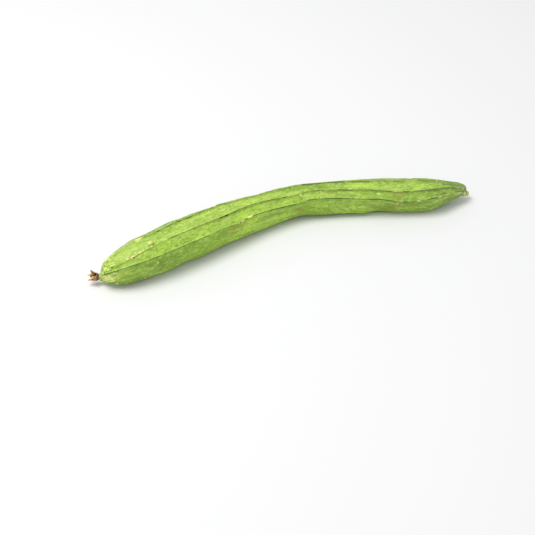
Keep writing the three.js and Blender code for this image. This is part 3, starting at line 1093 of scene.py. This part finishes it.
@dataclass(frozen=True)
class StemFlesh:
    """Fresh cut gourd stem: ribbed green rind round a pale, juicy pith that has begun to dry.

    The eye sees a yellow-green stub, orange-yellow towards the cut, with a deep yellow to orange face.
    """

    rind: str = "#cbdc62"
    rind_deep: str = "#a3bb48"
    rim: str = "#e3b93c"
    face: str = "#f0c548"
    face_deep: str = "#d98f2e"
    pith: str = "#f3df9a"
    roughness: float = 0.55
    ior: float = 1.4
    fibre_mm: float = 0.5
    relief_mm: float = 0.12
    relief_strength: float = 0.6

    def build(self) -> bpy.types.Material:
        """Makes the stem's material.

        Returns:
            The material, which reads whether a point is on the cut face, how far in, and how near the rim.
        """
        material = empty_material("gourd_stem_fresh_cut")
        tree = material.node_tree
        place = add(tree, "ShaderNodeAttribute", {"attribute_name": "skin_mm"}).outputs["Vector"]
        on_face, inward, rim = (add(tree, "ShaderNodeAttribute", {"attribute_name": name}).outputs["Fac"]
                                for name in ("cut", "inward", "rim"))
        scaled = add(tree, "ShaderNodeMapping",
                     {"Scale": (0.6 / self.fibre_mm, 1 / self.fibre_mm, 1 / self.fibre_mm),
                      "Vector": place}).outputs[0]
        fibres = add(tree, "ShaderNodeTexNoise",
                     {"Scale": 1.0, "Detail": 3.0, "Vector": scaled}).outputs["Fac"]
        rind = add(tree, "ShaderNodeValToRGB",
                   {"stops": [(0.35, self.rind_deep), (0.6, self.rind)], 0: fibres}).outputs[0]
        rind = add(tree, "ShaderNodeMix",
                   {"data_type": "RGBA", 0: rim, 6: rind, 7: self.rim}).outputs[2]
        rings = add(tree, "ShaderNodeValToRGB",
                    {"stops": [(0.0, self.face_deep), (0.3, self.face), (0.75, self.face_deep),
                               (1.0, self.pith)], 0: inward}).outputs[0]
        colour = add(tree, "ShaderNodeMix",
                     {"data_type": "RGBA", 0: on_face, 6: rind, 7: rings}).outputs[2]
        return finish_material(material, fibres, self.relief_mm, self.relief_strength,
                               {"IOR": self.ior, "Roughness": self.roughness, "Base Color": colour})


@dataclass(frozen=True)
class CutStem:
    """The five-sided stub of the stem, sliced a little aslant. Millimetres."""

    length: float = 3.1
    base: float = 3.0
    waist: float = 2.4
    cut: float = 2.7
    shoulder_at: float = 0.9
    waist_at: float = 2.0
    corners: int = 5
    groove: float = 0.2
    fibres: int = 17
    fibre_height: float = 0.06
    slope: float = 0.6
    gap: float = 0.3
    sunk: float = 0.35  # into the fruit's neck, so that no gap shows
    hollow: float = 0.35
    rim: tuple[float, float] = (0.55, 0.95)  # shares of the length where the rind turns yellow
    rim_slant: float = 0.12  # it does so lower on one side
    sides: int = 60
    side_rings: int = 16
    face_rings: int = 9

    def build(self, end: Outgrowth, flesh: bpy.types.Material) -> bpy.types.Object:
        """Makes the stub.

        Args:
            end: The stem end of the fruit.
            flesh: The stem's material.

        Returns:
            The stub.
        """
        turn = full_turn(self.sides)
        heights = (-self.sunk, self.gap, self.gap + self.shoulder_at, self.gap + self.waist_at,
                   self.gap + self.length)
        radii = (self.base, self.base, (self.base + self.waist) / 2, self.waist, self.cut)
        share = np.append(np.linspace(0, 1, self.side_rings), np.ones(self.face_rings))[:, None]
        inward = np.append(np.zeros(self.side_rings), np.linspace(0.04, 0.97, self.face_rings))[:, None]
        height = heights[0] + share * (heights[-1] - heights[0])
        fibres = self.fibre_height * np.cos(turn * self.fibres + share * 3)
        outline = np.interp(height, heights, radii) + self.groove * np.cos(turn * self.corners) + fibres
        outline = outline * (1 - inward)
        aslant = self.slope * outline * np.cos(turn) / self.cut * share ** 4
        sunk = self.hollow * inward * (2 - inward)
        points = ring_points(outline, turn, height + aslant - sunk)
        paints = {"skin_mm": points[..., [2, 0, 1]], "cut": inward > 0, "inward": inward,
                  "rim": smooth_step(*self.rim, share + self.rim_slant * np.cos(turn))}
        return skin_over("stem_stub", end.placed(points), flesh, paints)


class Tone(Enum):
    """The colours that the parts of the dried flower have turned, as dark and light hex values."""

    CUP = ("#5a3423", "#ad8268")
    RED = ("#6b2c14", "#b0602f")
    CREAM = ("#a88a58", "#fbf2d2")
    ORANGE = ("#8f4c22", "#dd9350")
    STRAW = ("#94702c", "#ecca5c")
    ROSE = ("#9a6a50", "#e9c3a6")
    GREY = ("#4f4032", "#94826c")


@dataclass(frozen=True)
class DriedPetal:
    """Dried flower tissue: thin papery calyx and petals, shrivelled on the fruit as it grew.

    The eye sees matte browns with cream and straw-coloured edges and fine veins along each lobe. Inside
    the cup it is painted nearly black, as shade in its deep hollow.
    """

    tone: Tone = Tone.CUP
    # painted shade deep inside the cup
    inside_shade_dark: str = "#1c0d0c"
    inside_shade_light: str = "#3c1d19"
    roughness: float = 0.82
    ior: float = 1.45
    vein_mm: float = 0.7
    relief_mm: float = 0.2
    relief_strength: float = 0.7

    def build(self) -> bpy.types.Material:
        """Makes the material in this tone.

        Returns:
            The material, which reads how near its tip each point is and whether it is inside the cup.
        """
        dark, light = self.tone.value
        material = empty_material(f"dried_petal_{self.tone.name.lower()}")
        tree = material.node_tree
        place = add(tree, "ShaderNodeAttribute", {"attribute_name": "skin_mm"}).outputs["Vector"]
        tip, inside = (add(tree, "ShaderNodeAttribute", {"attribute_name": name}).outputs["Fac"]
                       for name in ("tip", "inside"))
        scale = (0.25 / self.vein_mm, 1 / self.vein_mm, 1 / self.vein_mm)
        veined = add(tree, "ShaderNodeMapping", {"Scale": scale, "Vector": place}).outputs[0]
        veins = add(tree, "ShaderNodeTexNoise",
                    {"Scale": 1.0, "Detail": 3.0, "Roughness": 0.6, "Vector": veined}).outputs["Fac"]
        value = add(tree, "ShaderNodeMath",
                    {"operation": "MULTIPLY_ADD", 0: tip, 1: 0.45, 2: veins}).outputs[0]
        fresh = add(tree, "ShaderNodeValToRGB", {"stops": [(0.4, dark), (0.85, light)], 0: value}).outputs[0]
        # painted shade inside the cup, nearly black
        inside_shade = add(tree, "ShaderNodeValToRGB",
                     {"stops": [(0.4, self.inside_shade_dark), (0.9, self.inside_shade_light)], 0: veins}).outputs[0]
        colour = add(tree, "ShaderNodeMix",
                     {"data_type": "RGBA", 0: inside, 6: fresh, 7: inside_shade}).outputs[2]
        return finish_material(material, veins, self.relief_mm, self.relief_strength,
                               {"IOR": self.ior, "Roughness": self.roughness, "Base Color": colour})


@dataclass(frozen=True)
class Lobe:
    """One ragged lobe of the flower. Millimetres, degrees for its turn and radians for its curl."""

    turn: float
    start: float
    length: float
    width: float
    curl: float
    tone: Tone
    thickness: float = 0.9


@dataclass(frozen=True)
class DriedFlower:
    """The dried remains of the flower: a torn cup, ragged lobes and a withered style. Millimetres."""

    gap: float = 0.3
    sunk: float = 0.4
    cup_length: float = 4.8
    neck: float = 2.9
    shoulder: float = 3.4
    shoulder_at: float = 0.8
    belly: float = 4.2
    belly_at: float = 2.6
    mouth: float = 4.0
    hollow_depth: float = 3.0
    wall: float = 0.6
    tear_turn: float = 0.0  # the cup is torn open here, seen from above and the front
    tear_depth: float = 2.8
    tear_spread: float = 40.0
    rim_wobble: float = 0.5
    cup_wobble: float = 0.12
    cup_rings: int = 22  # on each side of its wall
    sides: int = 72
    ribs: int = 10
    rib_height: float = 0.2
    lobe_wobble: float = 0.3
    lobe_rings: int = 30
    lobe_sides: int = 28
    style_rings: int = 34
    style_sides: int = 20
    style_length: float = 7.4
    style_radius: float = 0.85
    style_head: float = 1.4
    style_lean: float = 1.6
    style_turn: float = 235.0
    lobes: tuple[Lobe, ...] = (
        Lobe(38, 3.4, 6.2, 3.0, 1.3, Tone.RED, 2.2),
        Lobe(66, 3.4, 8.6, 3.6, -0.5, Tone.CREAM, 1.8),
        Lobe(122, 3.4, 5.4, 3.8, 0.5, Tone.GREY),
        Lobe(200, 3.2, 7.4, 3.4, 0.1, Tone.ORANGE, 1.5),
        Lobe(240, 2.8, 3.0, 3.4, 2.0, Tone.ROSE),
    )

    def build(self, end: Outgrowth) -> list[bpy.types.Object]:
        """Makes the flower's pieces.

        Args:
            end: The flower end of the fruit.

        Returns:
            The cup, the style and the lobes.
        """
        tones = {tone: DriedPetal(tone).build() for tone in Tone}
        pieces = [self._cup(end, tones[Tone.CUP]), self._style(end, tones[Tone.STRAW])]
        for number, lobe in enumerate(self.lobes):
            pieces.append(self._lobe(number, lobe, end, tones[lobe.tone]))
        return pieces

    def _cup(self, end: Outgrowth, material: bpy.types.Material) -> bpy.types.Object:
        """Makes the ribbed cup with its torn and ragged rim, outside and inside.

        Args:
            end: The flower end of the fruit.
            material: The cup's material.

        Returns:
            The cup.
        """
        turn = full_turn(self.sides)
        floor = self.cup_length - self.hollow_depth
        outer = [(self.neck, -self.sunk), (self.neck, self.gap), (self.shoulder, self.shoulder_at),
                 (self.belly, self.belly_at), (self.mouth, self.cup_length)]
        inner = [(self.mouth - self.wall, self.cup_length), (self.belly - self.wall, self.belly_at),
                 (self.neck, floor + 0.3), (0.4, floor)]
        share = np.linspace(0, 1, self.cup_rings)
        profile = [[np.interp(share, np.linspace(0, 1, len(route)), column) for column in zip(*route)]
                   for route in (outer, inner)]
        radius, height = np.hstack(profile)[..., None]
        is_inside = np.repeat([0, 1], self.cup_rings)[:, None]
        degrees = np.degrees(turn)
        torn = -self.tear_depth * hill(turn_from(self.tear_turn, degrees), self.tear_spread)
        ragged = torn + self.rim_wobble * ripple(Seed.RIM, np.zeros(self.sides), degrees, 10, 13, 12)
        near_rim = smooth_step(self.cup_length * 0.3, self.cup_length, height)
        ribbed = self.rib_height * np.abs(np.cos(turn * self.ribs / 2)) * np.clip(height, 0, 1)
        rough = self.cup_wobble * ripple(Seed.CUP, height * 6, degrees, 8, 16, 12)
        reach = np.maximum(radius + ribbed * (radius > 1) + rough, 0.2)
        points = ring_points(reach, turn, height + ragged * near_rim)
        around = np.broadcast_to(turn * self.belly, reach.shape)
        place = np.stack([points[..., 2], around, points[..., 0] * 0.3], axis=-1)
        return skin_over("flower_cup", end.placed(points), material,
                         {"skin_mm": place, "tip": near_rim * (1 - is_inside), "inside": is_inside})

    def _lobe(self, number: int, lobe: Lobe, end: Outgrowth,
              material: bpy.types.Material) -> bpy.types.Object:
        """Makes one thin lobe, cupped across and curled over, with a ragged outline.

        Args:
            number: The lobe's number, which its unevenness follows.
            lobe: Its place and size.
            end: The flower end of the fruit.
            material: The lobe's material.

        Returns:
            The lobe.
        """
        loop = full_turn(self.lobe_sides)
        share = np.linspace(0, 1, self.lobe_rings)[:, None]
        bend = lobe.curl * share
        # widest beyond its foot and closed at its tip
        taper = (1 - share ** 4) ** 0.5 * (0.9 + 0.25 * np.sin(math.pi * np.minimum(1, share * 1.3)))
        wobble = self.lobe_wobble * ripple(Seed.LOBES + number, share * 14, np.degrees(loop), 4, 3, 8)
        across = lobe.width / 2 * (taper + 0.04) * np.sin(loop) * (1 + wobble)
        cupped = 0.16 * across ** 2 / lobe.width + 0.2 * share * np.sin(share * 9 + number)
        lift = lobe.thickness / 2 * np.cos(loop) * taper - cupped
        out = self.mouth - 0.5 + lobe.length * (1 - np.cos(bend)) / lobe.curl + lift * np.cos(bend)
        ahead = lobe.start + self.gap + lobe.length * np.sin(bend) / lobe.curl - lift * np.sin(bend)
        turn = math.radians(lobe.turn)
        points = np.stack([out * math.cos(turn) - across * math.sin(turn),
                           out * math.sin(turn) + across * math.cos(turn), ahead], axis=-1)
        place = np.stack([ahead, across, out], axis=-1) + number * 11
        return skin_over(f"flower_lobe_{number + 1}", end.placed(points), material,
                         {"skin_mm": place, "tip": share, "inside": 0 * share})

    def _style(self, end: Outgrowth, material: bpy.types.Material) -> bpy.types.Object:
        """Makes the withered style in the cup, knotted and bent over at its head.

        Args:
            end: The flower end of the fruit.
            material: The style's material.

        Returns:
            The style.
        """
        turn = full_turn(self.style_sides)
        share = np.linspace(0, 1, self.style_rings)[:, None]
        floor = self.cup_length - self.hollow_depth - 0.6
        shares = (0, 0.2, 0.6, 0.72, 0.88, 0.97, 1)
        sizes = (self.style_radius, self.style_radius * 0.8, self.style_radius * 0.75, self.style_head * 0.8,
                 self.style_head, self.style_head * 0.6, 0.15)
        uneven = 0.1 * ripple(Seed.STYLE, share * 12, np.degrees(turn), 3, 5, 8)
        knotted = np.interp(share, shares, sizes) * (1 + 0.18 * np.cos(turn * 3 + share * 5) + uneven)
        points = ring_points(knotted, turn, floor + share * (self.style_length - floor))
        towards = math.radians(self.style_turn)
        lean = self.style_lean * share ** 2
        points[..., 0] += lean * math.cos(towards)
        points[..., 1] += lean * math.sin(towards)
        return skin_over("withered_style", end.placed(points), material,
                         {"skin_mm": points[..., [2, 0, 1]], "tip": share, "inside": 0 * share})


def painted_floor() -> bpy.types.Material:
    """Makes the studio floor's finish: matt white painted board, which the eye sees as plain white.

    Returns:
        The material.
    """
    material = empty_material("floor_matt_white_paint")
    surface = add(material.node_tree, "ShaderNodeBsdfPrincipled",
                  {"Base Color": "#e9e9ea", "Roughness": 0.9, "Specular IOR Level": 0.1}).outputs[0]
    add(material.node_tree, "ShaderNodeOutputMaterial", {"Surface": surface})
    return material


@dataclass(frozen=True)
class Studio:
    """A plain white floor, a wide soft light overhead from the left, and pale light all round."""

    floor_half: float = 6.0
    sky: str = "#ffffff"
    sky_strength: float = 0.66
    key_place: tuple[float, float, float] = (-0.75, 0.15, 1.9)
    key_size: float = 1.1
    key_watts: float = 27.0

    def build(self) -> None:
        """Makes the floor, the lamp and the world."""
        half = self.floor_half
        corners = [(-half, -half, 0), (half, -half, 0), (half, half, 0), (-half, half, 0)]
        mesh = bpy.data.meshes.new("studio_floor")
        mesh.from_pydata(corners, [], [(0, 1, 2, 3)])
        mesh.materials.append(painted_floor())
        floor = in_scene("studio_floor", mesh)
        lamp = bpy.data.lights.new("soft_key", "AREA")
        lamp.shape = "DISK"
        lamp.size = self.key_size
        lamp.energy = self.key_watts
        key = in_scene("soft_key", lamp)
        key.location = self.key_place
        key.rotation_euler = Vector(self.key_place).to_track_quat("Z", "Y").to_euler()
        world = bpy.data.worlds.new("studio_sky")
        world.use_nodes = True
        world.node_tree.nodes.clear()
        sky = add(world.node_tree, "ShaderNodeBackground",
                  {"Color": self.sky, "Strength": self.sky_strength}).outputs[0]
        add(world.node_tree, "ShaderNodeOutputWorld", {"Surface": sky})
        bpy.context.scene.world = world
        LOG.info("studio: floor, key light and sky")


@dataclass(frozen=True)
class PhotoCamera:
    """The camera at the photograph's viewing angle. Degrees, metres, and millimetres for the lens."""

    azimuth: float = -19.5
    elevation: float = 40.0
    distance: float = 1.4
    lens: float = 90.0
    sensor: float = 36.0
    target: tuple[float, float, float] = (-0.03333, -0.05371, 0.0)

    def build(self) -> None:
        """Makes the camera and looks through it."""
        turn = math.radians(self.azimuth)
        rise = math.radians(self.elevation)
        back = Vector((math.sin(turn) * math.cos(rise), -math.cos(turn) * math.cos(rise), math.sin(rise)))
        data = bpy.data.cameras.new("photo_camera")
        data.lens = self.lens
        data.sensor_width = self.sensor
        camera = in_scene("photo_camera", data)
        camera.location = Vector(self.target) + back * self.distance
        camera.rotation_euler = back.to_track_quat("Z", "Y").to_euler()
        bpy.context.scene.camera = camera
        LOG.info("camera: azimuth %.1f, elevation %.1f", self.azimuth, self.elevation)


def end_of(sections: Sections, shift: Array, which: int) -> Outgrowth:
    """The place where something grows on an end of the fruit.

    Args:
        sections: The fruit's cross-sections.
        shift: From the stations' own frame to the part's.
        which: 0 for the flower end, -1 for the stem end.

    Returns:
        The end's place, with forward pointing out of the fruit.
    """
    outward = sections.forward[which] * (1 if which else -1)
    across = sections.upward[which] * (-1 if which else 1)
    return Outgrowth(sections.middle[which] + shift, outward, across, np.cross(outward, across))


def main() -> None:
    """Builds the studio and the gourd."""
    logging.basicConfig(level=logging.INFO, format="%(name)s: %(message)s")
    bpy.context.scene.view_settings.view_transform = "Standard"
    PhotoCamera().build()
    Studio().build()
    sections = Growth().sections()
    fruit = Fruit()
    hand_over(fruit.build(sections, GourdSkin().build()), "fruit")
    stem_end = end_of(sections, fruit.shift, -1)
    hand_over(CutStem().build(stem_end, StemFlesh().build()), "cut_stem")
    flower_end = end_of(sections, fruit.shift, 0)
    for piece in DriedFlower().build(flower_end):
        hand_over(piece, "dried_flower")
    bpy.context.view_layer.update()


if __name__ == "__main__":
    main()
